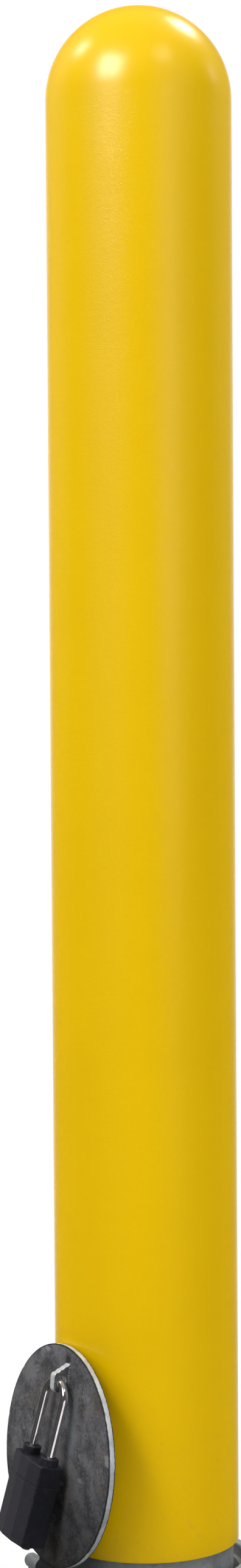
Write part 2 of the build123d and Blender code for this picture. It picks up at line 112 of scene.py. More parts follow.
# ------------------------------------------------------------------ shader helpers
class Shader:
    """A short way to add nodes to a tree and join them."""

    def __init__(self, tree):
        self.tree = tree

    def node(self, kind, values=None, **settings):
        made = self.tree.nodes.new(kind)
        for name, value in settings.items():
            setattr(made, name, value)
        for name, value in (values or {}).items():
            self.feed(made, name, value)
        return made

    def feed(self, node, name, value):
        socket = node.inputs[name]
        if isinstance(value, bpy.types.NodeSocket):
            self.tree.links.new(value, socket)
        else:
            socket.default_value = value

    def math(self, operation, first, second=0.0, clamp=False):
        made = self.node("ShaderNodeMath", operation=operation, use_clamp=clamp)
        self.feed(made, 0, first)
        self.feed(made, 1, second)
        return made.outputs[0]

    def ramp(self, value, low, high, start=0.0, end=1.0):
        made = self.node("ShaderNodeMapRange", {"Value": value, "From Min": low, "From Max": high,
                                                "To Min": start, "To Max": end})
        return made.outputs[0]

    def smooth(self, value, low, high, start=0.0, end=1.0):
        made = self.node("ShaderNodeMapRange", {"Value": value, "From Min": low, "From Max": high,
                                                "To Min": start, "To Max": end},
                         interpolation_type="SMOOTHSTEP")
        return made.outputs[0]

    def mix(self, factor, first, second, blend="MIX"):
        made = self.node("ShaderNodeMix", data_type="RGBA", blend_type=blend)
        self.feed(made, 0, factor)
        self.feed(made, 6, first)
        self.feed(made, 7, second)
        return made.outputs[2]

    def noise(self, vector, scale, detail=2.0, roughness=0.5, distortion=0.0):
        made = self.node("ShaderNodeTexNoise", {"Vector": vector, "Scale": scale, "Detail": detail,
                                                "Roughness": roughness, "Distortion": distortion})
        return made.outputs["Fac"]

    def voronoi(self, vector, scale, feature="F1", randomness=1.0):
        made = self.node("ShaderNodeTexVoronoi", {"Vector": vector, "Scale": scale,
                                                  "Randomness": randomness}, feature=feature)
        return made.outputs["Distance"]

    def stretch(self, vector, scale, rotation=(0, 0, 0)):
        made = self.node("ShaderNodeMapping", {"Vector": vector, "Scale": scale,
                                               "Rotation": rotation})
        return made.outputs[0]

    def bump(self, height, distance, strength=1.0, normal=None):
        values = {"Height": height, "Distance": distance, "Strength": strength}
        if normal is not None:
            values["Normal"] = normal
        return self.node("ShaderNodeBump", values).outputs[0]

    def place(self):
        return self.node("ShaderNodeTexCoord").outputs["Object"]


def group(name, inputs, outputs, build):
    """A shader node group. inputs are (name, kind, default), outputs are (name, kind)."""
    tree = bpy.data.node_groups.new(name, "ShaderNodeTree")
    for label, kind, default in inputs:
        socket = tree.interface.new_socket(label, in_out="INPUT", socket_type=kind)
        if default is not None:
            socket.default_value = default
    for label, kind in outputs:
        tree.interface.new_socket(label, in_out="OUTPUT", socket_type=kind)
    shader = Shader(tree)
    source = tree.nodes.new("NodeGroupInput")
    result = tree.nodes.new("NodeGroupOutput")
    for label, socket in build(shader, source.outputs).items():
        tree.links.new(socket, result.inputs[label])
    return tree


def material(name, build, **surface):
    """A material whose Principled BSDF takes plain values from surface, and links from build."""
    made = bpy.data.materials.new(name)
    made.use_nodes = True
    tree = made.node_tree
    principled = tree.nodes["Principled BSDF"]
    for label, value in surface.items():
        principled.inputs[label.replace("_", " ")].default_value = value
    for label, socket in build(Shader(tree)).items():
        tree.links.new(socket, principled.inputs[label])
    return made


FLOAT = "NodeSocketFloat"
COLOUR = "NodeSocketColor"
VECTOR = "NodeSocketVector"


# ------------------------------------------------------------------ shared effects
def build_grain(shader, given):
    """Moulded leather grain: short creases over a gentle waviness of the wall."""
    place = given["Place"]
    warp = shader.noise(place, shader.math("MULTIPLY", given["Scale"], 0.35), 1.0)
    creases = shader.voronoi(place, given["Scale"], "DISTANCE_TO_EDGE")
    fine = shader.noise(place, shader.math("MULTIPLY", given["Scale"], 1.3), 2.0, 0.6, 1.2)
    height = shader.math("ADD", shader.math("MULTIPLY", creases, 0.8), fine)
    height = shader.math("MULTIPLY", height, shader.ramp(warp, 0.3, 0.7, 0.55, 1.0))
    height = shader.math("MULTIPLY", height, given["Amount"])
    waves = shader.noise(place, 14.0, 1.0)
    normal = shader.bump(waves, 0.004, given["Waves"])
    return {"Normal": shader.bump(height, 0.0005, 1.0, normal)}


grain = group(
    "moulded_grain",
    (("Place", VECTOR, None), ("Scale", FLOAT, 900.0), ("Amount", FLOAT, 1.0),
     ("Waves", FLOAT, 0.2)),
    (("Normal", VECTOR),),
    build_grain,
)


def build_weathering(shader, given):
    """Mottled, stained and scratched zinc on steel."""
    place = given["Place"]
    blotch = shader.noise(place, given["Scale"], 6.0, 0.62, 0.4)
    speckle = shader.noise(place, shader.math("MULTIPLY", given["Scale"], 9.0), 3.0, 0.7)
    tone = shader.math("ADD", shader.math("MULTIPLY", blotch, 0.62),
                       shader.math("MULTIPLY", speckle, 0.38))
    tone = shader.smooth(tone, 0.37, 0.63)
    colour = shader.mix(tone, given["Dark"], given["Light"])
    stain = shader.smooth(shader.noise(place, shader.math("MULTIPLY", given["Scale"], 0.6), 3.0),
                          0.52, 0.7)
    colour = shader.mix(shader.math("MULTIPLY", stain, given["Stain"]), colour,
                        (0.115, 0.085, 0.062, 1.0))
    lines = []
    for turn, width in ((0.35, 1.0), (-0.9, 1.5), (1.35, 0.8)):
        along = shader.stretch(place, (34.0, 620.0 * width, 34.0), (turn, turn * 1.7, turn))
        streak = shader.noise(along, 1.0, 2.0, 0.5)
        lines.append(shader.smooth(streak, 0.70, 0.76))
    scratch = shader.math("MAXIMUM", shader.math("MAXIMUM", lines[0], lines[1]), lines[2])
    scratch = shader.math("MULTIPLY", scratch, given["Scratches"])
    colour = shader.mix(scratch, colour, given["Bright"])
    height = shader.math("SUBTRACT", shader.math("MULTIPLY", tone, 0.5), scratch)
    rough = shader.ramp(tone, 0.0, 1.0, 0.62, 0.42)
    return {"Color": colour, "Roughness": rough, "Height": height}


weathering = group(
    "weathered_zinc",
    (("Place", VECTOR, None), ("Scale", FLOAT, 60.0), ("Dark", COLOUR, (0.03, 0.03, 0.032, 1)),
     ("Light", COLOUR, (0.2, 0.2, 0.2, 1)), ("Bright", COLOUR, (0.6, 0.62, 0.64, 1)),
     ("Stain", FLOAT, 0.4), ("Scratches", FLOAT, 0.5)),
    (("Color", COLOUR), ("Roughness", FLOAT), ("Height", FLOAT)),
    build_weathering,
)


def use(shader, tree, values):
    return shader.node("ShaderNodeGroup", values, node_tree=tree).outputs


# ------------------------------------------------------------------ finishes
# pattern scales, in repeats per metre
SLEEVE_GRAIN = 880.0
LOCK_GRAIN = 2200.0
LID_BLOTCH = 58.0
LUG_BLOTCH = 150.0
ZINC_BLOTCH = 34.0
ZINC_CRYSTAL = 95.0


def yellow_build(shader):
    place = shader.place()
    height_up = shader.node("ShaderNodeSeparateXYZ", {"Vector": place}).outputs["Z"]
    straight = shader.smooth(height_up, DOME_Z + 0.004, DOME_Z - 0.006)
    worn = use(shader, grain, {"Place": place, "Scale": SLEEVE_GRAIN, "Waves": 0.16,
                               "Amount": shader.ramp(straight, 0.0, 1.0, 0.03, 0.20)})
    cloud = shader.noise(place, 9.0, 2.0)
    colour = shader.mix(shader.smooth(cloud, 0.3, 0.7), (0.890, 0.545, 0.0, 1.0),
                        (0.910, 0.565, 0.0, 1.0))
    dust = shader.smooth(shader.noise(place, 160.0, 4.0, 0.7), 0.56, 0.74)
    low = shader.smooth(height_up, 0.16, 0.012)
    colour = shader.mix(shader.math("MULTIPLY", shader.math("MULTIPLY", dust, low), 0.16),
                        colour, (0.50, 0.36, 0.12, 1.0))
    rough = shader.smooth(height_up, DOME_Z + 0.022, DOME_Z - 0.060, 0.27, 0.22)
    return {"Base Color": colour, "Roughness": rough, "Normal": worn["Normal"]}


# a painted reflection, a lighter bluish patch beside the lug: its place from the lid's middle, and its half sizes
REFLECTION_X = 19.0 * MM
REFLECTION_Z = 22.0 * MM
REFLECTION_WIDE = 9.0 * MM
REFLECTION_TALL = 26.0 * MM


def lid_build(shader):
    place = shader.place()
    rust = use(shader, weathering, {"Place": place, "Scale": LID_BLOTCH, "Stain": 0.35,
                                    "Dark": (0.040, 0.040, 0.044, 1), "Scratches": 0.22,
                                    "Light": (0.150, 0.150, 0.155, 1)})
    offset = shader.node("ShaderNodeVectorMath", {0: place, 1: tuple(lid_centre)},
                         operation="SUBTRACT").outputs[0]
    flat = shader.node("ShaderNodeVectorMath", {0: offset, 1: tuple(lid_out)},
                       operation="DOT_PRODUCT").outputs["Value"]
    length = shader.node("ShaderNodeVectorMath", {0: offset}, operation="LENGTH").outputs["Value"]
    radius = shader.math("SQRT", shader.math("SUBTRACT", shader.math("MULTIPLY", length, length),
                                             shader.math("MULTIPLY", flat, flat)))
    ragged = shader.noise(place, 420.0, 4.0, 0.65)
    height_up = shader.node("ShaderNodeSeparateXYZ", {"Vector": offset}).outputs["Z"]
    # painted shade: the face is darker towards the bottom and lighter towards the top
    shade = shader.smooth(height_up, -0.060, 0.012, 0.50, 1.30)
    face = shader.mix(1.0, rust["Color"], shader.node(
        "ShaderNodeCombineColor", {"Red": shade, "Green": shade, "Blue": shade}).outputs[0],
        "MULTIPLY")
    # painted reflection: a lighter bluish patch beside the lug
    painted_reflection = shader.node("ShaderNodeVectorMath", {
        0: shader.stretch(offset, (1 / REFLECTION_WIDE, 1.0, 1 / REFLECTION_TALL)),
        1: (REFLECTION_X / REFLECTION_WIDE, 0.0, REFLECTION_Z / REFLECTION_TALL)}, operation="SUBTRACT").outputs[0]
    painted_reflection = shader.node("ShaderNodeVectorMath", {0: painted_reflection}, operation="LENGTH").outputs["Value"]
    painted_reflection = shader.math("ADD", painted_reflection, shader.math("MULTIPLY", ragged, 0.5))
    face = shader.mix(shader.smooth(painted_reflection, 1.35, 0.75, 0.0, 0.55), face,
                      (0.155, 0.175, 0.195, 1.0))
    rim = shader.smooth(radius, LID_R - 1.3 * MM, LID_R - 0.8 * MM)
    edge = shader.math("ADD", shader.math("ABSOLUTE", flat),
                       shader.math("MULTIPLY", shader.math("SUBTRACT", ragged, 0.5), 0.0012))
    bare = shader.math("MULTIPLY", rim, shader.smooth(edge, FACE - 0.5 * MM, FACE - 1.1 * MM))
    # the bare cut edge: bright metal with a painted highlight, bluish white at the top; random patches of tarnish,
    # and painted shade that dims it lower down
    patch = shader.noise(place, 46.0, 3.0, 0.6)
    tarnish_and_painted_shade = shader.math("ADD", shader.smooth(height_up, -0.012, -0.045, 0.0, 0.55),
                       shader.smooth(patch, 0.46, 0.62, 0.0, 0.35))
    bright = shader.mix(tarnish_and_painted_shade, (0.74, 0.78, 0.82, 1.0), (0.20, 0.22, 0.24, 1.0))
    colour = shader.mix(bare, face, bright)
    # painted shade: a near-black line on the rounded edges between the faces and the rim
    rim_painted_shade = shader.math("MULTIPLY", rim, shader.math("SUBTRACT", 1.0, bare))
    colour = shader.mix(shader.math("MULTIPLY", rim_painted_shade, 0.85), colour, (0.02, 0.02, 0.024, 1.0))
    rough = shader.mix(bare, rust["Roughness"], (0.38, 0.38, 0.38, 1.0))
    metal = shader.ramp(bare, 0.0, 1.0, 0.30, 0.35)
    return {"Base Color": colour, "Roughness": rough, "Metallic": metal,
            "Normal": shader.bump(rust["Height"], 0.0002, 0.8)}


def galvanised_build(shader):
    place = shader.place()
    zinc = use(shader, weathering, {"Place": place, "Scale": ZINC_BLOTCH, "Stain": 0.10,
                                    "Dark": (0.27, 0.285, 0.295, 1), "Scratches": 0.25,
                                    "Light": (0.47, 0.49, 0.50, 1)})
    crystal = shader.node("ShaderNodeTexVoronoi",
                          {"Vector": place, "Scale": ZINC_CRYSTAL}).outputs["Color"]
    shade = shader.node("ShaderNodeSeparateColor", {"Color": crystal}).outputs[0]
    colour = shader.mix(0.35, zinc["Color"],
                        shader.mix(shade, (0.30, 0.315, 0.33, 1), (0.56, 0.58, 0.60, 1)))
    rough = shader.ramp(shade, 0.0, 1.0, 0.36, 0.52)
    return {"Base Color": colour, "Roughness": rough,
            "Normal": shader.bump(zinc["Height"], 0.00015, 0.6)}


def lug_build(shader):
    place = shader.place()
    zinc = use(shader, weathering, {"Place": place, "Scale": LUG_BLOTCH, "Stain": 0.05,
                                    "Dark": (0.09, 0.092, 0.096, 1), "Scratches": 0.5,
                                    "Light": (0.22, 0.225, 0.23, 1)})
    across = shader.node("ShaderNodeSeparateXYZ", {"Vector": place}).outputs["X"]
    aside = shader.math("ABSOLUTE", shader.math("SUBTRACT", across, lid_centre.x + SLOT_SHIFT))
    ragged = shader.noise(place, 600.0, 3.0, 0.6)
    # painted highlight: the faces off the lug's two flat sides, the sloping top and the nose, are painted near
    # white
    edge = shader.smooth(shader.math("ADD", aside, shader.math("MULTIPLY", ragged, 0.0006)),
                         LUG_THICKNESS / 2 + 0.00022, LUG_THICKNESS / 2 - 0.0002)
    colour = shader.mix(edge, zinc["Color"], (0.93, 0.94, 0.95, 1.0))
    rough = shader.mix(edge, zinc["Roughness"], (0.30, 0.30, 0.30, 1.0))
    cuts = shader.noise(shader.stretch(place, (120.0, 900.0, 900.0)), 1.0, 2.0)
    return {"Base Color": colour, "Roughness": rough,
            "Normal": shader.bump(cuts, 0.0003, 0.5)}


def polished_build(shader):
    place = shader.place()
    smear = shader.noise(place, 120.0, 4.0, 0.6)
    colour = shader.mix(shader.smooth(smear, 0.4, 0.7), (0.82, 0.81, 0.80, 1.0),
                        (0.66, 0.65, 0.64, 1.0))
    rough = shader.ramp(smear, 0.3, 0.7, 0.07, 0.16)
    fine = shader.noise(shader.stretch(place, (900.0, 900.0, 120.0)), 1.0, 2.0)
    return {"Base Color": colour, "Roughness": rough, "Normal": shader.bump(fine, 0.00003, 0.4)}


def black_build(shader):
    place = shader.place()
    skin = use(shader, grain, {"Place": place, "Scale": LOCK_GRAIN, "Amount": 0.28, "Waves": 0.05})
    dust = shader.smooth(shader.noise(place, 240.0, 5.0, 0.7), 0.5, 0.78)
    colour = shader.mix(shader.math("MULTIPLY", dust, 0.25), (0.0105, 0.0110, 0.0155, 1.0),
                        (0.060, 0.060, 0.062, 1.0))
    rough = shader.ramp(dust, 0.0, 1.0, 0.33, 0.5)
    offset = shader.node("ShaderNodeVectorMath", {0: place, 1: tuple(apex)},
                         operation="SUBTRACT").outputs[0]
    along = shader.node("ShaderNodeVectorMath", {0: offset, 1: tuple(lock_up)},
                        operation="DOT_PRODUCT").outputs["Value"]
    seam = shader.smooth(shader.math("ABSOLUTE", shader.math("SUBTRACT", along, SEAM_Z)),
                         0.15 * MM, 0.45 * MM)
    return {"Base Color": colour, "Roughness": rough,
            "Normal": shader.bump(seam, 0.0003, 1.0, skin["Normal"])}


def plain_metal(base, dark, rough):
    """A machined metal: brushed unevenness and handling marks over one colour."""
    def build(shader):
        place = shader.place()
        smear = shader.noise(place, 90.0, 5.0, 0.65)
        colour = shader.mix(shader.smooth(smear, 0.35, 0.7), base, dark)
        lathe = shader.noise(shader.stretch(place, (200.0, 200.0, 3000.0)), 1.0, 2.0)
        return {"Base Color": colour,
                "Roughness": shader.ramp(smear, 0.3, 0.7, rough, rough + 0.15),
                "Normal": shader.bump(lathe, 0.00004, 0.5)}
    return build


def plain_plastic(base, dark, rough, scale):
    """A moulded plastic or rubber with fine grain and a slight change of tone."""
    def build(shader):
        place = shader.place()
        skin = use(shader, grain, {"Place": place, "Scale": scale, "Amount": 0.4, "Waves": 0.1})
        tone = shader.smooth(shader.noise(place, 40.0, 4.0, 0.6), 0.35, 0.7)
        return {"Base Color": shader.mix(tone, base, dark),
                "Roughness": shader.ramp(tone, 0.0, 1.0, rough, rough + 0.12),
                "Normal": skin["Normal"]}
    return build


finishes = {
    "yellow_plastic": material("yellow_moulded_plastic", yellow_build, Specular_IOR_Level=0.42),
    "lid_steel": material("weathered_lid_plate_with_painted_light", lid_build),
    "galvanised_steel": material("galvanised_steel", galvanised_build, Metallic=0.5),
    "lug_steel": material("flame_cut_lug_with_painted_highlight", lug_build, Metallic=0.55),
    "polished_steel": material("polished_steel", polished_build, Metallic=1.0),
    "black_plastic": material("black_moulded_plastic", black_build, Specular_IOR_Level=0.5),
    "brass": material("machined_brass", plain_metal((0.60, 0.42, 0.16, 1), (0.40, 0.26, 0.09, 1),
                                                    0.25), Metallic=1.0),
    "zinc_screw": material("bright_zinc", plain_metal((0.62, 0.63, 0.66, 1),
                                                      (0.45, 0.46, 0.48, 1), 0.28), Metallic=1.0),
    "black_enamel": material("black_enamel", plain_plastic((0.012, 0.012, 0.012, 1),
                                                           (0.03, 0.03, 0.03, 1), 0.28, 500.0)),
    "guide_plastic": material("white_guide_plastic", plain_plastic((0.72, 0.71, 0.66, 1),
                                                                   (0.60, 0.59, 0.54, 1), 0.42,
                                                                   700.0)),
    "buffer_rubber": material("black_rubber", plain_plastic((0.016, 0.016, 0.016, 1),
                                                            (0.035, 0.034, 0.033, 1), 0.62,
                                                            900.0)),
}
slot_of = {entry["node"]: entry["material_slot"] for entry in frame["record"]["subparts"]}


def dress(obj, slot_name):
    """Give a piece its finish."""
    obj.data.materials.clear()
    obj.data.materials.append(finishes[slot_name])


for name, node in nodes.items():
    dress(node, slot_of[name])


# ------------------------------------------------------------------ new pieces
def piece(name, bm, place, body, replaced=None, slot_name=None, sharp=35.0):
    """Turn a bmesh into a piece that rides on a body, with its place in its mesh."""
    bm.transform(place)
    mesh = bpy.data.meshes.new(name)
    bm.to_mesh(mesh)
    bm.free()
    mesh.shade_smooth()
    mesh.set_sharp_from_angle(angle=radians(sharp))
    obj = bpy.data.objects.new(name, mesh)
    scene.collection.objects.link(obj)
    dress(obj, slot_name)
    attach(obj, body)
    if replaced:
        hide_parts(replaced)
    return obj


def chain(bm, points):
    """Vertices at the points, joined by edges into a closed loop."""
    verts = [bm.verts.new(point) for point in points]
    edges = [bm.edges.new((a, b)) for a, b in zip(verts, verts[1:] + verts[:1])]
    return edges


def thicken(bm, depth):
    """Raise a flat sheet along +Z into a solid plate."""
    faces = bm.faces[:]
    bmesh.ops.recalc_face_normals(bm, faces=faces)
    raised = bmesh.ops.extrude_face_region(bm, geom=faces)["geom"]
    verts = [part for part in raised if isinstance(part, bmesh.types.BMVert)]
    bmesh.ops.translate(bm, verts=verts, vec=(0, 0, depth))
    bmesh.ops.recalc_face_normals(bm, faces=bm.faces[:])


def soften(bm, chosen, width, segments):
    """Round the chosen edges."""
    bmesh.ops.bevel(bm, geom=chosen, offset=width, segments=segments, profile=0.5,
                    affect="EDGES", material=-1)


def corners(bm, angle):
    """Edges where two faces meet at more than the angle."""
    return [edge for edge in bm.edges
            if len(edge.link_faces) == 2 and edge.calc_face_angle() > radians(angle)]


SLEEVE_ROWS = 60
DOME_ROWS = 40
SLEEVE_TURNS = 160
LIP_R = 1.2 * MM
LIP_STEPS = 8


def make_sleeve():
    """The domed sleeve: one wall, turned about the post's axis, with a rounded lower lip."""
    low = sleeve_low.z
    inner_r = SLEEVE_R - SLEEVE_WALL
    line = [Vector((0, 0, sleeve_high.z))]
    for row in range(1, DOME_ROWS + 1):
        turn = pi / 2 * row / DOME_ROWS
        line.append(Vector((SLEEVE_R * sin(turn), 0, DOME_Z + SLEEVE_R * cos(turn))))
    for row in range(1, SLEEVE_ROWS):
        line.append(Vector((SLEEVE_R, 0, DOME_Z + (low + LIP_R - DOME_Z) * row / SLEEVE_ROWS)))
    for row in range(LIP_STEPS + 1):
        turn = pi * row / LIP_STEPS
        line.append(Vector((SLEEVE_R - LIP_R + LIP_R * cos(turn), 0,
                            low + LIP_R - LIP_R * sin(turn))))
    line.append(Vector((inner_r, 0, low + 3 * LIP_R)))
    line.append(Vector((inner_r, 0, DOME_Z)))
    for row in range(1, DOME_ROWS // 2 + 1):
        turn = pi / 2 * (1 - 2 * row / DOME_ROWS)
        line.append(Vector((inner_r * sin(turn), 0, DOME_Z + inner_r * cos(turn))))
    bm = bmesh.new()
    verts = [bm.verts.new(point) for point in line]
    edges = [bm.edges.new(pair) for pair in zip(verts, verts[1:])]
    bmesh.ops.spin(bm, geom=verts + edges, cent=(0, 0, 0), axis=(0, 0, 1), angle=2 * pi,
                   steps=SLEEVE_TURNS, use_merge=True)
    bmesh.ops.remove_doubles(bm, verts=bm.verts[:], dist=CLOSE)
    bmesh.ops.recalc_face_normals(bm, faces=bm.faces[:])
    return piece("domed_sleeve", bm, Matrix.Identity(4), "post", "post_sleeve", "yellow_plastic")


LID_EDGE = 0.55 * MM
LID_POINTS = 360
SLOT_POINTS = 16
# nicks in the lid's rim: (degrees round from +X, depth, half width in degrees)
NICKS = ((58, 0.2, 1.6), (31, 0.25, 2.0), (12, 0.2, 1.4), (-14, 0.4, 2.4), (-31, 0.25, 1.6),
         (-48, 0.35, 2.6), (97, 0.2, 1.8), (139, 0.35, 1.6), (171, 0.4, 1.8), (204, 0.35, 1.5),
         (229, 0.45, 1.8))


def rim_radius(turn):
    """The lid's cut edge: a slight waver and a few nicks."""
    waver = noise.noise(Vector((cos(turn) * 2.2, sin(turn) * 2.2, 0.3))) * 0.22
    waver += noise.noise(Vector((cos(turn) * 13, sin(turn) * 13, 4.0))) * 0.10
    cut = 0.0
    for degrees, depth, width in NICKS:
        away = (turn - radians(degrees) + pi) % (2 * pi) - pi
        cut = max(cut, depth * max(0.0, 1 - abs(away) / radians(width)))
    return LID_R - (0.18 + waver * 0.8 + cut) * MM


def make_lid():
    """The round plate with its slot, and a notch for the hinge's tongue."""
    bm = bmesh.new()
    half = NOTCH_WIDTH / 2
    gap = atan2(half, sqrt(LID_R ** 2 - half ** 2))
    outline = []
    for step in range(LID_POINTS + 1):
        turn = -pi / 2 + gap + (2 * pi - 2 * gap) * step / LID_POINTS
        radius = LID_R if step in (0, LID_POINTS) else rim_radius(turn)
        outline.append((radius * cos(turn), radius * sin(turn), 0))
    notch_y = -LID_R + NOTCH_DEPTH
    outline += [(-half, notch_y, 0), (half, notch_y, 0)]
    edges = chain(bm, outline)
    slot_line = []
    middle = LID_R - SLOT_TOP_MARGIN - SLOT_LENGTH / 2
    straight = (SLOT_LENGTH - SLOT_WIDTH) / 2
    for end, start in ((1, 0), (-1, pi)):
        for step in range(SLOT_POINTS + 1):
            turn = start + pi * step / SLOT_POINTS
            slot_line.append((SLOT_SHIFT + SLOT_WIDTH / 2 * cos(turn),
                              middle + end * straight + SLOT_WIDTH / 2 * sin(turn), 0))
    edges += chain(bm, slot_line)
    bmesh.ops.triangle_fill(bm, use_beauty=True, use_dissolve=False, edges=edges)
    bmesh.ops.translate(bm, verts=bm.verts[:], vec=(0, 0, -FACE))
    thicken(bm, LID_THICKNESS)
    round_edges = [edge for edge in corners(bm, 50)
                   if abs(abs(edge.verts[0].co.z) - FACE) < CLOSE
                   and abs(edge.verts[0].co.z - edge.verts[1].co.z) < CLOSE
                   and not (edge.verts[0].co.y < notch_y + MM
                            and abs(edge.verts[0].co.x) < half + MM)]
    soften(bm, round_edges, LID_EDGE, 2)
    return piece("round_lid", bm, lid_place, "lid", "lid_plate", "lid_steel", 40)


LUG_EDGE = 0.6 * MM
NOSE_POINTS = 10
HOLE_POINTS = 32
TOP_POINTS = 24
HAMMER_MARKS = 3
HAMMER_DEPTH = 0.45 * MM


def make_lug():
    """The flat lug: square heel behind the lid, round nose corners and the shackle's hole."""
    inner = -FACE - LUG_INNER_REACH
    outer = FACE + LUG_REACH
    half = LUG_HEIGHT / 2
    fall = atan2(LUG_NOSE_DROP, LUG_REACH)
    outline = [(inner, half), (inner, -half)]
    for step in range(NOSE_POINTS + 1):
        turn = -pi / 2 + pi / 2 * step / NOSE_POINTS
        outline.append((outer - LUG_NOSE_R + LUG_NOSE_R * cos(turn),
                        -half + LUG_NOSE_R + LUG_NOSE_R * sin(turn)))
    reach = LUG_NOSE_R * tan((pi / 2 - fall) / 2)
    corner_y = half - LUG_NOSE_DROP - reach
    for step in range(NOSE_POINTS + 1):
        turn = (pi / 2 - fall) * step / NOSE_POINTS
        outline.append((outer - LUG_NOSE_R + LUG_NOSE_R * cos(turn),
                        corner_y + LUG_NOSE_R * sin(turn)))
    # hammer marks along the sloping top edge, back from the nose to the lid
    end_x, end_y = outline[-1]
    for step in range(1, TOP_POINTS + 1):
        along = step / TOP_POINTS
        dent = 0.0 if step == TOP_POINTS else HAMMER_DEPTH * abs(sin(HAMMER_MARKS * pi * along))
        outline.append((end_x + (FACE - end_x) * along, end_y + (half - end_y) * along - dent))
    bm = bmesh.new()
    edges = chain(bm, [(x, y, 0) for x, y in outline])
    hole_y = -half + LUG_HOLE_RISE
    hole = [(FACE + LUG_HOLE_OUT + LUG_HOLE_R * cos(2 * pi * step / HOLE_POINTS),
             hole_y + LUG_HOLE_R * sin(2 * pi * step / HOLE_POINTS), 0)
            for step in range(HOLE_POINTS)]
    edges += chain(bm, hole)
    bmesh.ops.triangle_fill(bm, use_beauty=True, use_dissolve=False, edges=edges)
    bmesh.ops.translate(bm, verts=bm.verts[:], vec=(0, 0, -LUG_THICKNESS / 2))
    thicken(bm, LUG_THICKNESS)
    soften(bm, [edge for edge in corners(bm, 50)
                if abs(edge.verts[0].co.z - edge.verts[1].co.z) < CLOSE], LUG_EDGE, 3)
    # local x out of the lid, local y up the lid, local z towards -X
    turn = Matrix(((0, 0, -1, 0), (0, 1, 0, 0), (1, 0, 0, 0), (0, 0, 0, 1)))
    place = lid_place @ Matrix.Translation((SLOT_SHIFT, lug_middle, 0)) @ turn
    return piece("cut_lug", bm, place, "lid", "lock_lug", "lug_steel", 40)


BEAD_R = 1.5 * MM
BEAD_APART = 0.5 * MM            # from the lug's side
BEAD_RISE = 0.1 * MM
RIPPLES = 34


def make_welds():
    """A rippled bead down each side of the lug's root."""
    bm = bmesh.new()
    for side in (-1, 1):
        made = bmesh.ops.create_uvsphere(bm, u_segments=20, v_segments=48, radius=1.0)
        bmesh.ops.rotate(bm, verts=made["verts"], cent=(0, 0, 0),
                         matrix=Matrix.Rotation(pi / 2, 3, "X"))
        for vert in made["verts"]:
            ripple = 1 + 0.10 * sin(vert.co.y * RIPPLES + side) + 0.18 * noise.noise(vert.co * 2.7)
            vert.co.x *= BEAD_R * ripple
            vert.co.z *= BEAD_R * 0.8 * ripple
            vert.co.y *= LUG_HEIGHT / 2 * 0.98
        bmesh.ops.translate(bm, verts=made["verts"],
                            vec=(SLOT_SHIFT + side * (LUG_THICKNESS / 2 + BEAD_APART),
                                 lug_middle, FACE + BEAD_RISE))
    return piece("weld_beads", bm, lid_place, "lid", "lug_welds", "lug_steel", 60)


BOW_STEPS = 48
ROUND_STEPS = 32


def make_shackle():
    """The bent rod: long leg, bow and short leg, drawn out from one circle."""
    bm = bmesh.new()
    bmesh.ops.create_circle(bm, cap_ends=False, segments=ROUND_STEPS, radius=SHACKLE_R)
    bmesh.ops.translate(bm, verts=bm.verts[:], vec=(-LEG_X, 0, HEEL_Z))
    ring = bm.edges[:]

    def draw_out(length):
        drawn = bmesh.ops.extrude_edge_only(bm, edges=ring)["geom"]
        moved = [part for part in drawn if isinstance(part, bmesh.types.BMVert)]
        bmesh.ops.translate(bm, verts=moved, vec=(0, 0, length))
        return [part for part in drawn if isinstance(part, bmesh.types.BMEdge)
                and all(vert in moved for vert in part.verts)]

    heel = ring
    ring = draw_out(-LEG_X - HEEL_Z)
    ends = list(dict.fromkeys(vert for edge in ring for vert in edge.verts))
    spun = bmesh.ops.spin(bm, geom=ends + ring, cent=(0, 0, -LEG_X), axis=(0, 1, 0),
                          angle=pi, steps=BOW_STEPS)["geom_last"]
    ring = [part for part in spun if isinstance(part, bmesh.types.BMEdge)]
    ring = draw_out(TOE_Z + LEG_X)
    for loop in (heel, ring):
        bmesh.ops.contextual_create(bm, geom=loop)
    bmesh.ops.recalc_face_normals(bm, faces=bm.faces[:])
    return piece("shackle_rod", bm, lock_place, "shackle", "shackle", "polished_steel", 50)


make_sleeve()
make_lid()
make_lug()
make_welds()
shackle_rod = make_shackle()

# ------------------------------------------------------------------ stage
FLOOR_R = 3.4


def floor_build(shader):
    place = shader.place()
    tone = shader.noise(place, 3.0, 3.0)
    away = shader.node("ShaderNodeVectorMath", {0: place}, operation="LENGTH").outputs["Value"]
    return {"Base Color": shader.mix(tone, (0.80, 0.80, 0.79, 1), (0.84, 0.84, 0.83, 1)),
            "Alpha": shader.smooth(away, FLOOR_R, FLOOR_R * 0.35)}


bm = bmesh.new()
bmesh.ops.create_circle(bm, cap_ends=True, segments=96, radius=FLOOR_R)
bm.transform(Matrix.Translation((0, 0, ground)))
floor_mesh = bpy.data.meshes.new("floor")
bm.to_mesh(floor_mesh)
bm.free()
floor = bpy.data.objects.new("floor", floor_mesh)
scene.collection.objects.link(floor)
floor.data.materials.append(material("pale_floor", floor_build, Roughness=0.8))
floor.visible_glossy = False

# ------------------------------------------------------------------ camera
AZIMUTH = radians(60.8)
CAMERA_DISTANCE = 1.9426
CAMERA_HEIGHT = 0.5889           # above the sleeve's lower edge
PITCH = radians(2.57)
PAN = radians(-0.433)
ROLL = radians(-0.394)
LENS = 67.8

right = Vector((cos(AZIMUTH), sin(AZIMUTH), 0))
away = Vector((-sin(AZIMUTH), cos(AZIMUTH), 0))
up = Vector((0, 0, 1))


def studio(x, y, z):
    """A direction or place given as right, away and up from the camera's side."""
    return right * x + away * y + up * z


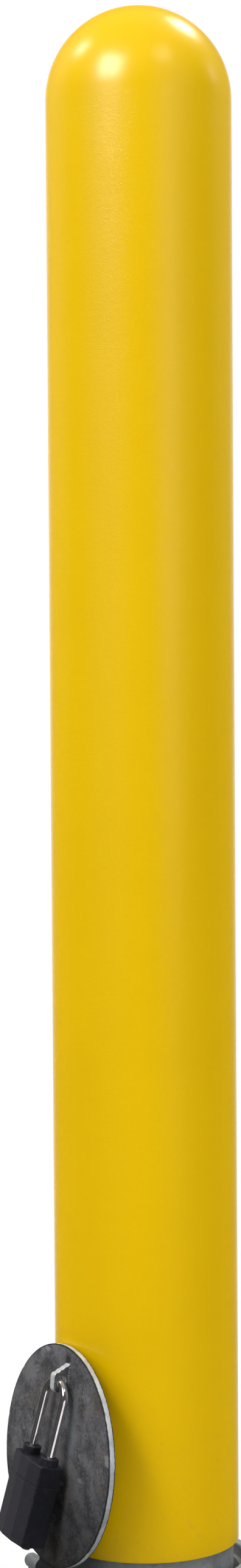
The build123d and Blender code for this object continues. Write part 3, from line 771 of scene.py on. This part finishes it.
side = studio(cos(PAN), -sin(PAN), 0)
level = studio(sin(PAN), cos(PAN), 0)
ahead = level * cos(PITCH) - up * sin(PITCH)
above = level * sin(PITCH) + up * cos(PITCH)
camera_x = side * cos(ROLL) + above * sin(ROLL)
camera_y = above * cos(ROLL) - side * sin(ROLL)
camera_data = bpy.data.cameras.new("camera")
camera_data.lens = LENS
camera_data.sensor_width = 36.0
camera = bpy.data.objects.new("camera", camera_data)
scene.collection.objects.link(camera)
turned = Matrix((camera_x, camera_y, -ahead)).transposed().to_4x4()
camera.matrix_world = Matrix.Translation(
    studio(0, -CAMERA_DISTANCE, sleeve_low.z + CAMERA_HEIGHT)) @ turned
scene.camera = camera

# ------------------------------------------------------------------ light
DOME = Vector((0, 0, DOME_Z))
FOOT = Vector((0, 0, 0.14))      # about as high as the shackle
ROD_TURN = radians(12.0)

# where a rod of the shackle sends the view, on the side that is turned a little to the right
view = (FOOT - studio(0, -CAMERA_DISTANCE, sleeve_low.z + CAMERA_HEIGHT)).normalized()
rod_side = (view - lock_up * view.dot(lock_up)).normalized()
rod_side = -(Matrix.Rotation(ROD_TURN, 3, lock_up) @ rod_side)
bounced = view - 2 * view.dot(rod_side) * rod_side
ROD_GLINT = (bounced.dot(right), bounced.dot(away), bounced.z)

FILL_COLOUR = (1.0, 1.0, 1.0)
SHEEN_COLOUR = (1.0, 0.90, 0.96)
# A fill shapes the surfaces and a sheen shows only as a highlight. The last two are
# reflections for one part each, the shackle's rod and the padlock.
SOFTBOXES = (
    # use, what it faces, direction (right, away, up), distance, size, watts
    ("fill", DOME, (-0.546, -0.552, 0.629), 2.6, 0.75, 34.0),
    ("fill", DOME, (0.427, 0.551, 0.718), 2.6, 0.60, 27.0),
    ("fill", DOME, (0.434, -0.374, 0.820), 2.6, 0.40, 6.0),
    ("fill", DOME, (-0.697, 0.368, 0.615), 2.6, 0.40, 8.0),
    ("fill", DOME, (0.871, 0.355, 0.339), 2.6, 0.35, 5.0),
    ("fill", FOOT, (0.560, -0.800, 0.210), 4.0, 1.40, 37.0),
    ("sheen", DOME, (-0.519, -0.681, 0.545), 2.6, 1.20, 72.0),
    ("sheen", DOME, (0.416, 0.484, 0.770), 2.6, 0.62, 22.0),
    ("sheen", DOME, (0.433, -0.540, 0.722), 2.6, 0.60, 5.0),
    ("sheen", DOME, (-0.700, 0.163, 0.696), 2.6, 0.50, 11.0),
    ("sheen", DOME, (0.867, 0.311, 0.389), 2.6, 0.50, 1.6),
    ("rod", FOOT, ROD_GLINT, 1.3, 1.30, 5.6),
    ("lock", FOOT, (-0.850, 0.500, -0.150), 1.4, 0.90, 1.0),
)
# wide soft lights all round, which shape surfaces without showing as highlights
ROUND_RISE = radians(22.0)
ROUND_DISTANCE = 5.0
ROUND_SIZE = 4.0
ROUNDS = (
    # degrees from the right towards the back, watts
    (45.0, 150.0),
    (135.0, 230.0),
    (225.0, 104.0),
    (315.0, 58.0),
)
for degrees, watts in ROUNDS:
    turn = radians(degrees)
    spot = (cos(turn) * cos(ROUND_RISE), sin(turn) * cos(ROUND_RISE), sin(ROUND_RISE))
    SOFTBOXES += (("fill", DOME, spot, ROUND_DISTANCE, ROUND_SIZE, watts),)

# two small reflections are meant for one part each
only = {use_as: bpy.data.collections.new(f"only_{use_as}") for use_as in ("rod", "lock")}
only["rod"].objects.link(shackle_rod)
for name, node in nodes.items():
    if slot_of[name] == "black_plastic":
        only["lock"].objects.link(node)

for number, (use_as, target, direction, distance, size, watts) in enumerate(SOFTBOXES):
    lamp = bpy.data.lights.new(f"{use_as}_{number}", "AREA")
    lamp.shape = "SQUARE"
    lamp.size = size
    lamp.energy = watts
    lamp.color = FILL_COLOUR if use_as == "fill" else SHEEN_COLOUR
    spot = studio(*direction).normalized()
    holder = bpy.data.objects.new(lamp.name, lamp)
    holder.matrix_world = (Matrix.Translation(target + spot * distance)
                           @ spot.to_track_quat("Z", "Y").to_matrix().to_4x4())
    scene.collection.objects.link(holder)
    holder.visible_camera = False
    holder.visible_glossy = use_as != "fill"
    holder.visible_diffuse = use_as == "fill"
    if use_as in only:
        holder.light_linking.receiver_collection = only[use_as]

ROOM = 0.07
WALL = 0.95
CEILING = 0.30

world = bpy.data.worlds.new("studio")
scene.world = world
world.use_nodes = True
sky = Shader(world.node_tree)
background = world.node_tree.nodes["Background"]
toward = sky.node("ShaderNodeTexCoord").outputs["Generated"]


def facing(direction, low, high, strength):
    """A soft bright patch of the room in one direction."""
    across = sky.node("ShaderNodeVectorMath", {0: toward, 1: tuple(direction.normalized())},
                      operation="DOT_PRODUCT").outputs["Value"]
    return sky.smooth(across, low, high, 0.0, strength)


# the room is dim, with a bright wall behind the object and a paler ceiling
room = sky.math("ADD", ROOM, facing(away, 0.84, 1.0, WALL))
room = sky.math("ADD", room, facing(up, 0.55, 0.95, CEILING))
seen = sky.node("ShaderNodeLightPath").outputs["Is Camera Ray"]
sky.feed(background, "Strength", sky.math("MAXIMUM", room, seen))
background.inputs["Color"].default_value = (1.0, 1.0, 1.0, 1.0)

scene.view_settings.view_transform = "Standard"
